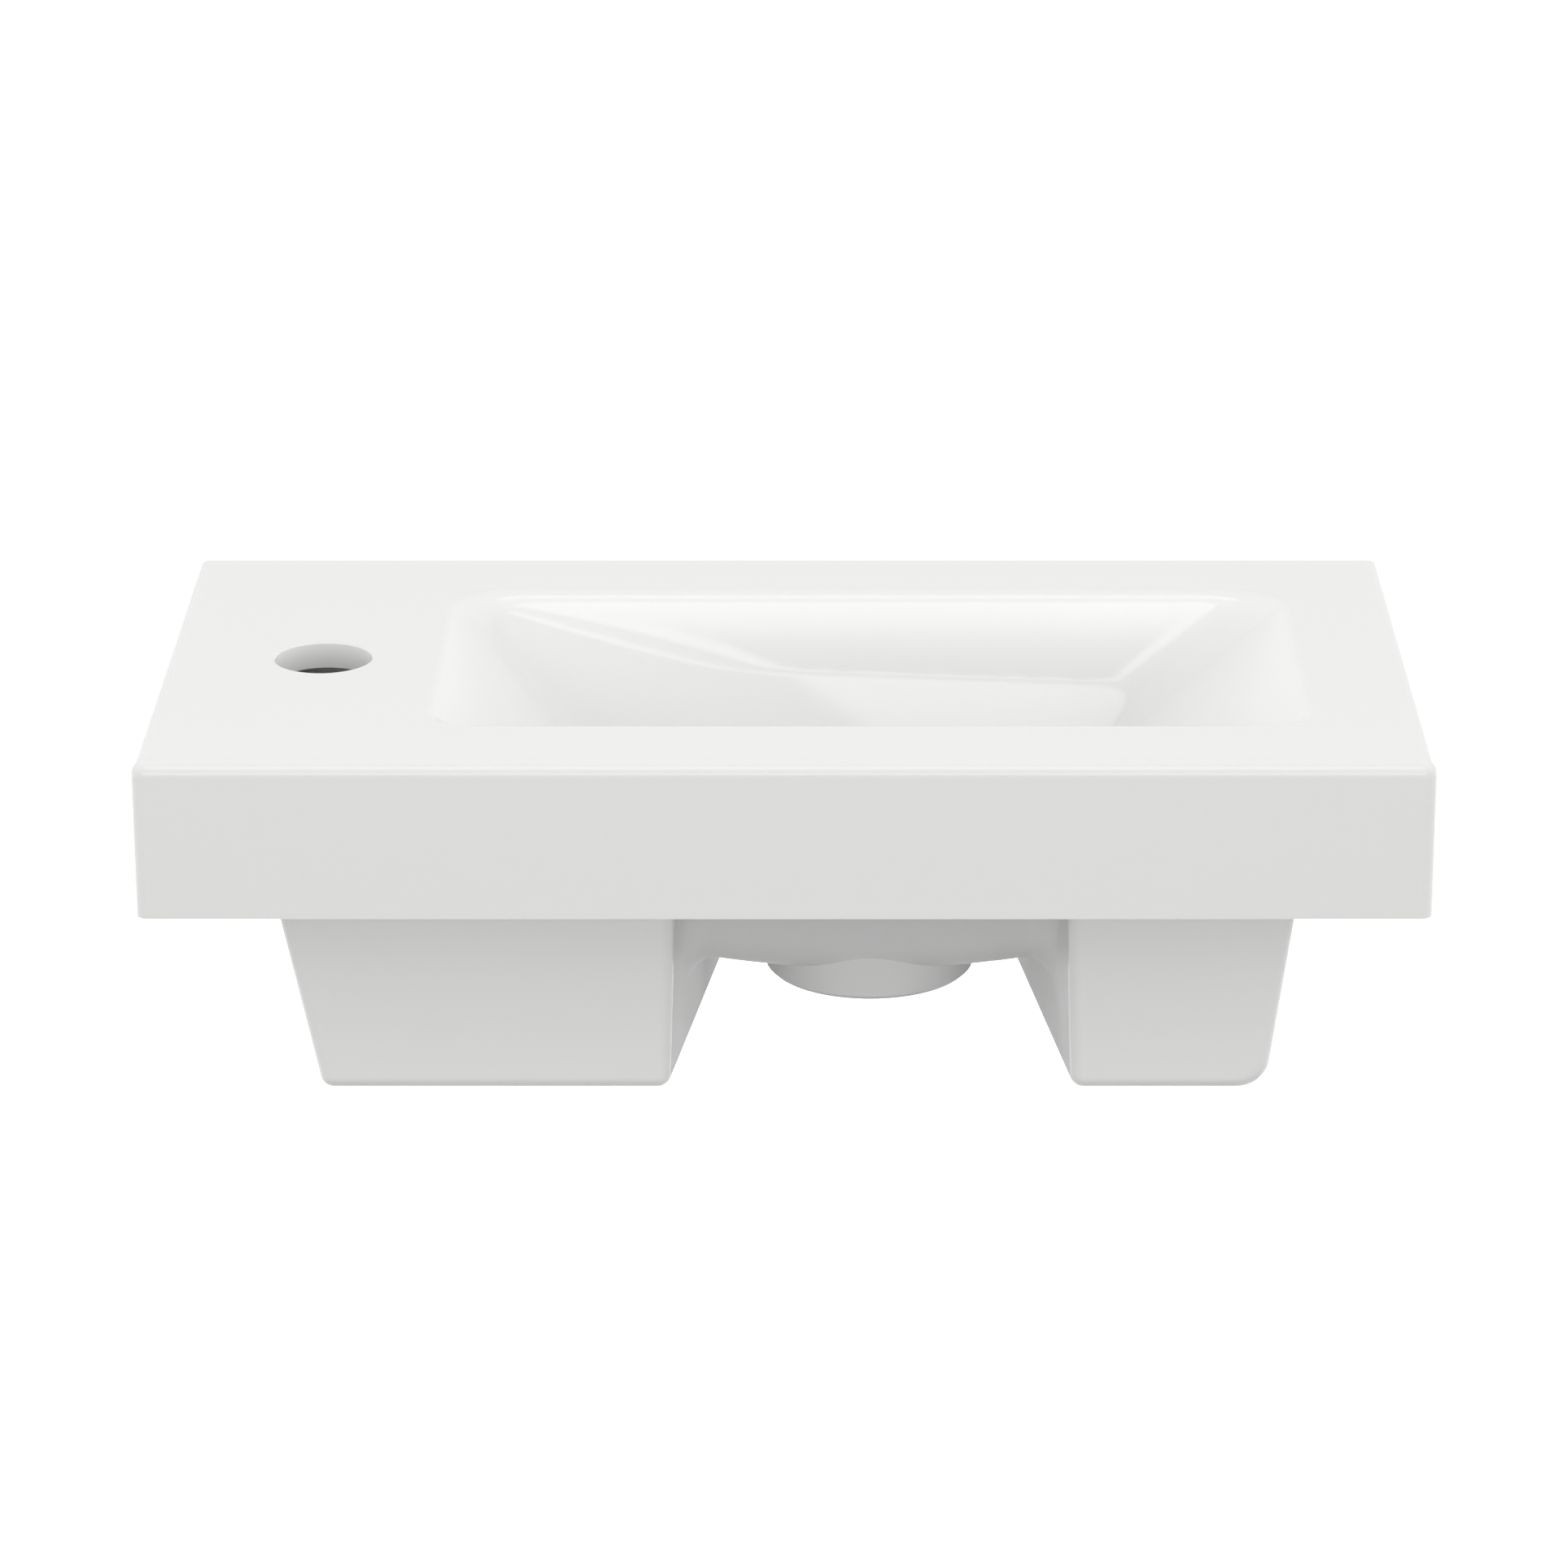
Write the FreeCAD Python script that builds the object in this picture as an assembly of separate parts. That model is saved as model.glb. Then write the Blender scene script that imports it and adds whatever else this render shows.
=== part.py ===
"""Wall-hung cloakroom basin with its deck on the left and its bowl on the right, and its two wall fixings.

Millimetres. +X runs to the right as seen from the room, +Y into the wall and +Z up. The origin lies on the
wall, at the middle of the slab's back face. Depths are measured from the front face and drops from the deck.
"""

import FreeCAD
import Part

import math
import os

# Slab: the flat rim that carries the deck
SLAB_WIDTH = 450.0
SLAB_DEPTH = 230.0
SLAB_HEIGHT = 57.0
SLAB_TOP_EDGE_RADIUS = 5.0
SLAB_CORNER_RADIUS = 4.5

# Thickness of the fired walls
DECK_WALL = 10.0
SIDE_WALL = 10.0
REAR_WALL = 14.0
BOWL_WALL = 11.0

# Bowl: its opening in the deck and its floor, in shares of the slab's width from the left and of its depth
OPENING_LEFT_SHARE = 0.2218
OPENING_RIGHT_SHARE = 0.912
OPENING_FRONT_SHARE = 0.1843
OPENING_BACK_SHARE = 0.8322
FLOOR_LEFT_SHARE = 0.4553
FLOOR_RIGHT_SHARE = 0.6333
FLOOR_FRONT_SHARE = 0.374
FLOOR_BACK_SHARE = 0.7416
BOWL_DROP = 98.0
RIM_RADIUS = 6.5
VALLEY_RADIUS = 16.0

# Facets at the bowl's back: three points each, in shares of slab width, slab depth and bowl drop
LONG_FACET_SHARES = ((0.2284, 0.8322, 0.0204), (0.5667, 0.8002, 0.353), (0.4553, 0.418, 1.0))
BACK_FACET_SHARES = ((0.5667, 0.8035, 0.3163), (0.7889, 0.8004, 0.3504), (0.5667, 0.559, 1.0))
FACET_RADIUS = 12.0

# Drain
DRAIN_SHARE = 0.5673
DRAIN_DEPTH_SHARE = 0.4957
DRAIN_HOLE_RADIUS = 23.0
DRAIN_SEAT_RADIUS = 34.0
DRAIN_SEAT_DROP = 100.0
DRAIN_POCKET_HEIGHT = 40.0
DRAIN_POCKET_WALL = 11.0
DRAIN_BOSS_RADIUS = 38.0
DRAIN_BOSS_DROP = 118.3
DRAIN_BOSS_CHAMFER = 1.5

# Belly: the skin under the bowl, seen between the legs, with an arched underside
BELLY_DROP = 110.8
BELLY_ARCH_RADIUS = 300.0
BELLY_EDGE_RADIUS = 20.0
BELLY_FILLET_RADIUS = 9.0
BELLY_HOLLOW_DROP = 92.0

# Tap hole
TAP_HOLE_RADIUS = 17.5
TAP_HOLE_SHARE = 0.1278
TAP_HOLE_CHAMFER = 0.8

# Legs: the two drafted blocks under the slab, with the open recess between them
LEG_HEIGHT = 81.2
LEG_FRONT_INSET = 38.0
LEG_FRONT_DRAFT = 1.0
LEFT_LEG_INSET = 42.4
LEFT_LEG_DRAFT = 11.6
RIGHT_LEG_INSET = 42.2
RIGHT_LEG_DRAFT = 7.7
LEG_EDGE_RADIUS = 5.0
RIGHT_LEG_OUTER_RADIUS = 12.0
RECESS_FRONT_WIDTH = 138.8
RECESS_TAPER = 7.6
RECESS_DRAFT = 2.0

# Wall fixings, one on each side
FIXING_DROP = 92.0
FIXING_INSET = 85.0
FIXING_HOLE_RADIUS = 9.0
SLEEVE_RADIUS = 8.7
SLEEVE_SHORTFALL = 1.0
SLEEVE_FLANGE_RADIUS = 14.0
SLEEVE_FLANGE_THICKNESS = 3.0
CLEARANCE_BORE_RADIUS = 4.3
WASHER_RADIUS = 12.0
WASHER_THICKNESS = 2.0
THREAD_BORE_RADIUS = 4.05
NUT_ACROSS_FLATS = 13.0
NUT_SIDES = 6
NUT_HEIGHT = 6.5
BOLT_RADIUS = 4.0
BOLT_PROUD_OF_NUT = 6.5
SCREW_LENGTH = 68.0
SCREW_TIP_LENGTH = 8.0
SCREW_TIP_RADIUS = 1.0
PLUG_RADIUS = 6.0
PLUG_LENGTH = 60.0
PLUG_NECK_LENGTH = 9.0
PLUG_SLOT_WIDTH = 1.6

# One overrun serves every cut and every overlap between pieces of the body
OVERRUN = 2.0
NEARLY = 1e-6

DECK_Z = SLAB_HEIGHT / 2
FIXING_Z = DECK_Z - FIXING_DROP
LEG_FLOOR_DROP = SLAB_HEIGHT + LEG_HEIGHT
HALF_WIDTH = SLAB_WIDTH / 2
REACH = SLAB_WIDTH + SLAB_DEPTH
OPENING_FRONT_DEPTH = OPENING_FRONT_SHARE * SLAB_DEPTH
OPENING_BACK_DEPTH = OPENING_BACK_SHARE * SLAB_DEPTH
DRAIN_DEPTH = DRAIN_DEPTH_SHARE * SLAB_DEPTH
TAP_HOLE_DEPTH = SLAB_DEPTH / 2
FIXING_SPACING = SLAB_WIDTH - 2 * FIXING_INSET
SLEEVE_FACE_Y = -REAR_WALL - SLEEVE_FLANGE_THICKNESS
WASHER_FACE_Y = SLEEVE_FACE_Y - WASHER_THICKNESS
NUT_FACE_Y = WASHER_FACE_Y - NUT_HEIGHT
BOLT_HEAD_Y = NUT_FACE_Y - BOLT_PROUD_OF_NUT


def vec(x, depth, drop):
    """Point at x, at a depth behind the front face and at a drop below the deck."""
    return FreeCAD.Vector(x, depth - SLAB_DEPTH, DECK_Z - drop)


def across(share):
    """Place along X of a share of the slab's width, counted from its left side."""
    return share * SLAB_WIDTH - HALF_WIDTH


def at_shares(width_share, depth_share, drop_share):
    """Point at shares of the slab's width and depth and of the bowl's drop."""
    return vec(across(width_share), depth_share * SLAB_DEPTH, drop_share * BOWL_DROP)


def block(x0, x1, depth0, depth1, drop0, drop1):
    """Plain block between two widths, two depths and two drops."""
    return Part.makeBox(x1 - x0, depth1 - depth0, drop1 - drop0, vec(x0, depth0, drop1))


def drum(x, depth, drop0, drop1, radius):
    """Upright cylinder between two drops."""
    return Part.makeCylinder(radius, drop1 - drop0, vec(x, depth, drop1))


def middle(edge):
    """Middle point of an edge."""
    return edge.valueAt((edge.FirstParameter + edge.LastParameter) / 2)


def edges_where(shape, test):
    """Edges of shape whose middle point passes the test."""
    return [e for e in shape.Edges if test(middle(e))]


def plane_through(first, second, third):
    """Plane through three points, as one of them and its upward normal."""
    normal = (second - first).cross(third - first).normalize()
    return first, normal if normal.z > 0 else -normal


def side_plane(opening_share, floor_share):
    """Left or right side of the bowl, from the opening down to the floor."""
    top, back = at_shares(opening_share, 0, 0), at_shares(opening_share, 1, 0)
    return plane_through(top, back, at_shares(floor_share, 0, 1))


def end_plane(opening_share, floor_share):
    """Front or back side of the bowl, from the opening down to the floor."""
    left, right = at_shares(0, opening_share, 0), at_shares(1, opening_share, 0)
    return plane_through(left, right, at_shares(0, floor_share, 1))


OPENING_LEFT_X = across(OPENING_LEFT_SHARE)
OPENING_RIGHT_X = across(OPENING_RIGHT_SHARE)
DRAIN_X = across(DRAIN_SHARE)
TAP_HOLE_X = across(TAP_HOLE_SHARE)
LEFT_SIDE = side_plane(OPENING_LEFT_SHARE, FLOOR_LEFT_SHARE)
RIGHT_SIDE = side_plane(OPENING_RIGHT_SHARE, FLOOR_RIGHT_SHARE)
FRONT_SIDE = end_plane(OPENING_FRONT_SHARE, FLOOR_FRONT_SHARE)
BACK_SIDE = end_plane(OPENING_BACK_SHARE, FLOOR_BACK_SHARE)
LONG_FACET = plane_through(*(at_shares(*shares) for shares in LONG_FACET_SHARES))
BACK_FACET = plane_through(*(at_shares(*shares) for shares in BACK_FACET_SHARES))


def half_space(plane, lift):
    """Everything above a plane after the plane is moved back by lift."""
    point, normal = plane
    solid = Part.makeBox(2 * REACH, 2 * REACH, REACH, FreeCAD.Vector(-REACH, -REACH, 0))
    turn = FreeCAD.Rotation(FreeCAD.Vector(0, 0, 1), normal)
    solid.Placement = FreeCAD.Placement(point - normal * lift, turn)
    return solid


def trimmed(solid, planes, lift):
    """Solid cut back to the upper side of every plane."""
    for plane in planes:
        solid = solid.common(half_space(plane, lift))
    return solid


def crease(shape, plane_a, plane_b):
    """Edges along which two planes meet on the shape."""

    def lying_on(plane):
        flat = [f for f in shape.Faces if isinstance(f.Surface, Part.Plane)]
        return [e for f in flat if abs(f.Surface.Axis.dot(plane[1])) > 1 - NEARLY for e in f.Edges]

    others = lying_on(plane_b)
    return [e for e in lying_on(plane_a) if any(e.isSame(o) for o in others)]


def bowl_space():
    """Space inside the bowl: four sides and a floor with rounded valleys, then the two facets at the back."""
    space = block(-HALF_WIDTH, HALF_WIDTH, 0, SLAB_DEPTH, 0, BOWL_DROP)
    space = trimmed(space, (LEFT_SIDE, RIGHT_SIDE, BACK_SIDE, FRONT_SIDE), 0)
    space = space.makeFillet(VALLEY_RADIUS, edges_where(space, lambda p: p.z < DECK_Z - OVERRUN))
    space = trimmed(space, (LONG_FACET, BACK_FACET), 0)
    soft = crease(space, LEFT_SIDE, LONG_FACET)
    soft += crease(space, BACK_SIDE, LONG_FACET)
    soft += crease(space, BACK_FACET, LONG_FACET)
    return space.makeFillet(FACET_RADIUS, soft)


def drain_space():
    """Round pocket for the waste's flange, and the hole for its tail."""
    pocket_top = DRAIN_SEAT_DROP - DRAIN_POCKET_HEIGHT
    pocket = drum(DRAIN_X, DRAIN_DEPTH, pocket_top, DRAIN_SEAT_DROP, DRAIN_SEAT_RADIUS)
    hole = drum(DRAIN_X, DRAIN_DEPTH, pocket_top, DRAIN_BOSS_DROP + OVERRUN, DRAIN_HOLE_RADIUS)
    return pocket.fuse(hole)


def slab():
    """Rim slab with its front corners and its top edges rounded; its back edges stay square at the wall."""
    body = block(-HALF_WIDTH, HALF_WIDTH, 0, SLAB_DEPTH, 0, SLAB_HEIGHT)

    def front_upright(p):
        return abs(p.y + SLAB_DEPTH) < NEARLY and abs(abs(p.x) - HALF_WIDTH) < NEARLY

    def front_or_side_rim(p):
        return abs(p.z - DECK_Z) < NEARLY and p.y < -NEARLY

    body = body.makeFillet(SLAB_CORNER_RADIUS, edges_where(body, front_upright))
    return body.makeFillet(SLAB_TOP_EDGE_RADIUS, edges_where(body, front_or_side_rim))


def leg_planes(side):
    """Outer side, front and recess side of the left (-1) or right (1) leg, each facing into the leg."""
    inset, draft = (LEFT_LEG_INSET, LEFT_LEG_DRAFT) if side < 0 else (RIGHT_LEG_INSET, RIGHT_LEG_DRAFT)
    outer_lean, front_lean = math.radians(draft), math.radians(LEG_FRONT_DRAFT)
    inner_lean, turn = math.radians(RECESS_DRAFT), math.radians(RECESS_TAPER)
    return (
        (
            vec(side * (HALF_WIDTH - inset), 0, SLAB_HEIGHT),
            FreeCAD.Vector(-side * math.cos(outer_lean), 0, math.sin(outer_lean)),
        ),
        (
            vec(0, LEG_FRONT_INSET, SLAB_HEIGHT),
            FreeCAD.Vector(0, math.cos(front_lean), math.sin(front_lean)),
        ),
        (
            vec(DRAIN_X + side * RECESS_FRONT_WIDTH / 2, LEG_FRONT_INSET, SLAB_HEIGHT),
            FreeCAD.Vector(side * math.cos(turn), math.sin(turn), math.tan(inner_lean)).normalize(),
        ),
    )


def leg(side, wall, top_drop, floor_drop):
    """Drafted leg on the left (-1) or right (1), drawn in on every side by wall."""
    rear = SLAB_DEPTH - (REAR_WALL if wall else 0)
    form = block(-HALF_WIDTH, HALF_WIDTH, 0, rear, top_drop, floor_drop)
    return trimmed(form, leg_planes(side), -wall)


def rounded_leg(side):
    """Leg with its front uprights and its foot rounded; the right leg's outer foot is rounder."""
    top_drop = SLAB_HEIGHT - DECK_WALL / 2
    body = leg(side, 0, top_drop, LEG_FLOOR_DROP)

    def outer_foot(p):
        return side > 0 and p.z < DECK_Z - LEG_FLOOR_DROP + OVERRUN and p.x > SLAB_WIDTH / 3

    def front_or_foot(p):
        return p.z < DECK_Z - top_drop - OVERRUN and p.y < -OVERRUN

    if side > 0:
        body = body.makeFillet(RIGHT_LEG_OUTER_RADIUS, edges_where(body, outer_foot))
    rest = edges_where(body, lambda p: front_or_foot(p) and not (side > 0 and p.x > SLAB_WIDTH / 3))
    return body.makeFillet(LEG_EDGE_RADIUS, rest)


def recess(front, rear, drop0, drop1, grow):
    """Space between the legs over a range of depths and drops, widened into each leg by grow."""
    form = block(-HALF_WIDTH, HALF_WIDTH, front, rear, drop0, drop1)
    for side in (-1, 1):
        point, into_leg = leg_planes(side)[-1]
        form = form.common(half_space((point, -into_leg), grow))
    return form


def belly_form():
    """Outside of the bowl between the legs: sloping front and back over an arched underside."""
    half = RECESS_FRONT_WIDTH
    form = block(DRAIN_X - half, DRAIN_X + half, 0, SLAB_DEPTH, 0, LEG_FLOOR_DROP)
    form = trimmed(form, (FRONT_SIDE, BACK_SIDE), BOWL_WALL)
    along = FreeCAD.Vector(0, 1, 0)
    arch = Part.makeCylinder(BELLY_ARCH_RADIUS, SLAB_DEPTH, vec(0, 0, 0), along)
    # The cylinder's seam is turned to one side, clear of the edges to be rounded
    arch.rotate(vec(0, 0, 0), along, 90)
    arch.translate(FreeCAD.Vector(DRAIN_X, 0, BELLY_ARCH_RADIUS - BELLY_DROP))
    form = form.common(arch)
    middle_z = DECK_Z - BELLY_DROP + OVERRUN
    lower = edges_where(form, lambda p: p.z < middle_z and abs(p.x - DRAIN_X) < DRAIN_HOLE_RADIUS)
    return form.makeFillet(BELLY_EDGE_RADIUS, lower)


def belly():
    """Skin that joins the legs under the bowl, with a fillet against each leg."""
    top_drop = SLAB_HEIGHT - DECK_WALL / 2
    open_space = recess(0, SLAB_DEPTH + OVERRUN, top_drop, LEG_FLOOR_DROP, 0).cut(belly_form())

    def against_leg(p):
        beside = abs(p.x - DRAIN_X) > RECESS_FRONT_WIDTH / 4
        level = DECK_Z - BELLY_DROP < p.z < DECK_Z - top_drop - NEARLY
        return beside and level and 0 < p.y + SLAB_DEPTH < SLAB_DEPTH

    open_space = open_space.makeFillet(BELLY_FILLET_RADIUS, edges_where(open_space, against_leg))
    front = LEG_FRONT_INSET + LEG_EDGE_RADIUS + OVERRUN / 2
    return recess(front, SLAB_DEPTH, top_drop, BELLY_DROP, OVERRUN).cut(open_space)


def drain_boss():
    """Boss that hangs below the belly, with its lower edge broken."""
    boss = drum(DRAIN_X, DRAIN_DEPTH, BOWL_DROP, DRAIN_BOSS_DROP, DRAIN_BOSS_RADIUS)
    foot_z = DECK_Z - DRAIN_BOSS_DROP
    return boss.makeChamfer(DRAIN_BOSS_CHAMFER, edges_where(boss, lambda p: abs(p.z - foot_z) < NEARLY))


def bowl_shell():
    """Bowl with its wall: the part of the casting that the hollow leaves standing around the bowl."""
    form = block(-HALF_WIDTH, HALF_WIDTH, 0, SLAB_DEPTH, DECK_WALL / 2, BOWL_DROP + BOWL_WALL)
    form = trimmed(form, (LEFT_SIDE, RIGHT_SIDE, BACK_SIDE, FRONT_SIDE, LONG_FACET, BACK_FACET), BOWL_WALL)
    pocket_top = DRAIN_SEAT_DROP - DRAIN_POCKET_HEIGHT
    sleeve = drum(DRAIN_X, DRAIN_DEPTH, pocket_top, BOWL_DROP, DRAIN_SEAT_RADIUS + DRAIN_POCKET_WALL)
    return form.fuse(sleeve)


def body_hollow():
    """Hollow in the casting: under the deck, behind the bowl and in both legs, which are open at the foot."""
    under_deck = block(
        -HALF_WIDTH + SIDE_WALL,
        HALF_WIDTH - SIDE_WALL,
        SIDE_WALL,
        SLAB_DEPTH - REAR_WALL,
        DECK_WALL,
        SLAB_HEIGHT - DECK_WALL,
    )
    top_drop = SLAB_HEIGHT - DECK_WALL - OVERRUN
    in_legs = [leg(side, SIDE_WALL, top_drop, LEG_FLOOR_DROP + OVERRUN) for side in (-1, 1)]
    in_belly = recess(0, SLAB_DEPTH, top_drop, BELLY_HOLLOW_DROP, SIDE_WALL + OVERRUN)
    in_belly = trimmed(in_belly, (FRONT_SIDE, BACK_SIDE), 0)
    return under_deck.fuse(in_legs + [in_belly]).cut(bowl_shell())


def tap_hole():
    """Tap hole through the deck's wall."""
    return drum(TAP_HOLE_X, TAP_HOLE_DEPTH, -OVERRUN, DECK_WALL + OVERRUN, TAP_HOLE_RADIUS)


def deck_edges(body, x0, x1, depth0, depth1):
    """Edges in the deck's surface inside a rectangle."""

    def inside(p):
        return x0 < p.x < x1 and depth0 < p.y + SLAB_DEPTH < depth1 and abs(p.z - DECK_Z) < NEARLY

    return edges_where(body, inside)


def basin_body():
    """Fired body: slab, legs and bowl in one casting."""
    body = slab().fuse([rounded_leg(-1), rounded_leg(1), belly(), drain_boss()])
    body = body.cut(body_hollow()).cut(bowl_space())
    opening = deck_edges(
        body,
        OPENING_LEFT_X - OVERRUN,
        OPENING_RIGHT_X + OVERRUN,
        OPENING_FRONT_DEPTH - OVERRUN,
        OPENING_BACK_DEPTH + OVERRUN,
    )
    body = body.makeFillet(RIM_RADIUS, opening)
    body = body.cut([drain_space(), tap_hole(), fixing_hole(-1), fixing_hole(1)])
    reach = TAP_HOLE_RADIUS + OVERRUN
    lip = deck_edges(
        body, TAP_HOLE_X - reach, TAP_HOLE_X + reach, TAP_HOLE_DEPTH - reach, TAP_HOLE_DEPTH + reach
    )
    return body.makeChamfer(TAP_HOLE_CHAMFER, lip).removeSplitter()


def on_axis(side, y):
    """Point on a fixing's axis at a distance from the wall."""
    return FreeCAD.Vector(side * FIXING_SPACING / 2, y, FIXING_Z)


def rod(side, y0, y1, radius):
    """Cylinder on a fixing's axis between two distances from the wall."""
    return Part.makeCylinder(radius, y1 - y0, on_axis(side, y0), FreeCAD.Vector(0, 1, 0))


def fixing_hole(side):
    """Hole for a fixing through a leg's rear wall."""
    return rod(side, -REAR_WALL - OVERRUN, OVERRUN, FIXING_HOLE_RADIUS)


def fixing_sleeve(side):
    """Collar that keeps the bolt off the ceramic: a spigot in the hole and a flange inside the leg."""
    spigot = rod(side, -REAR_WALL, -SLEEVE_SHORTFALL, SLEEVE_RADIUS)
    flange = rod(side, SLEEVE_FACE_Y, -REAR_WALL, SLEEVE_FLANGE_RADIUS)
    return spigot.fuse(flange).cut(rod(side, -REACH, 0, CLEARANCE_BORE_RADIUS))


def fixing_washer(side):
    """Flat washer under the nut."""
    disc = rod(side, WASHER_FACE_Y, SLEEVE_FACE_Y, WASHER_RADIUS)
    return disc.cut(rod(side, -REACH, 0, CLEARANCE_BORE_RADIUS))


def fixing_nut(side):
    """Hexagon nut."""
    corner_radius = NUT_ACROSS_FLATS / 2 / math.cos(math.pi / NUT_SIDES)
    centre = on_axis(side, NUT_FACE_Y)
    corners = []
    for i in range(NUT_SIDES):
        angle = 2 * math.pi * i / NUT_SIDES
        corners.append(centre + FreeCAD.Vector(math.cos(angle), 0, math.sin(angle)) * corner_radius)
    outline = Part.makePolygon(corners + corners[:1])
    prism = Part.Face(outline).extrude(FreeCAD.Vector(0, NUT_HEIGHT, 0))
    return prism.cut(rod(side, -REACH, 0, THREAD_BORE_RADIUS))


def hanger_bolt(side):
    """Bolt with a flat end for the nut and a screw point that runs through the plug."""
    point_y = SCREW_LENGTH - SCREW_TIP_LENGTH
    shank = rod(side, BOLT_HEAD_Y, point_y, BOLT_RADIUS)
    along = FreeCAD.Vector(0, 1, 0)
    tip = Part.makeCone(BOLT_RADIUS, SCREW_TIP_RADIUS, SCREW_TIP_LENGTH, on_axis(side, point_y), along)
    return shank.fuse(tip)


def wall_plug(side):
    """Wall plug with a plain neck and an expansion slot behind it."""
    plug = rod(side, 0, PLUG_LENGTH, PLUG_RADIUS).cut(rod(side, -OVERRUN, REACH, THREAD_BORE_RADIUS))
    corner = on_axis(side, PLUG_NECK_LENGTH) - FreeCAD.Vector(2 * PLUG_RADIUS, 0, PLUG_SLOT_WIDTH / 2)
    return plug.cut(Part.makeBox(4 * PLUG_RADIUS, PLUG_LENGTH, PLUG_SLOT_WIDTH, corner))


def main():
    """Write one STEP file for every piece."""
    os.makedirs("parts", exist_ok=True)
    pieces = {"basin_body": basin_body()}
    for side, name in ((-1, "left"), (1, "right")):
        pieces["hanger_bolt_" + name] = hanger_bolt(side)
        pieces["wall_plug_" + name] = wall_plug(side)
        pieces["fixing_sleeve_" + name] = fixing_sleeve(side)
        pieces["fixing_washer_" + name] = fixing_washer(side)
        pieces["fixing_nut_" + name] = fixing_nut(side)
    for name, piece in pieces.items():
        piece.exportStep("parts/%s.step" % name)


main()
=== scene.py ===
"""Looks of a wall-hung cloakroom basin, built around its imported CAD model.

Metres, in the row frame: +X to the right, +Y into the wall and +Z up, with the origin on the wall at the
middle of the slab's back face.
"""

import logging
import math
from dataclasses import dataclass
from enum import Enum

import bpy
import numpy as np
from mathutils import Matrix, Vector

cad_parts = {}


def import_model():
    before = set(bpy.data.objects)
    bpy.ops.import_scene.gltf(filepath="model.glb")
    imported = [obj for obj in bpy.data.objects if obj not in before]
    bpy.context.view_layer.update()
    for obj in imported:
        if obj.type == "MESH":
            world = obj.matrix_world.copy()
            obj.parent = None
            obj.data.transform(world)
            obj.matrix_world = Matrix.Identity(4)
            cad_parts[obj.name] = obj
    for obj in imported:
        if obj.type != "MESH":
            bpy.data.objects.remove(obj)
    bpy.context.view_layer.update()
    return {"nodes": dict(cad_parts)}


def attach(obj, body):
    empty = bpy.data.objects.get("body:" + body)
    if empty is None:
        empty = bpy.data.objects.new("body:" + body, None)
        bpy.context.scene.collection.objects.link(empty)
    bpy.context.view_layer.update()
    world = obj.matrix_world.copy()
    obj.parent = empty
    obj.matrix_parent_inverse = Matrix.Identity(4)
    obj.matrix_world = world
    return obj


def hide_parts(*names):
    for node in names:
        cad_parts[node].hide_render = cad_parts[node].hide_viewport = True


LOG = logging.getLogger("basin")
WELD = 1e-6
IN_PLANE = 1e-5
TINY = 1e-12
SMALLEST_REACH = 1e-9

Colour = tuple[float, float, float, float]
Point = tuple[float, float, float]
Plane = tuple[np.ndarray, np.ndarray]


class Side(Enum):
    """The two wall fixings, by the side of the basin that they hold."""

    LEFT = -1
    RIGHT = 1

    def node(self, piece: str) -> str:
        """Name of a piece's CAD node on this side."""
        return f"{piece}_{self.name.lower()}"


class Coat(Enum):
    """What the ceramic shows: the slots of the body's mesh, in order."""

    GLOSS = 0
    THIN = 1
    BISQUE = 2


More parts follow.
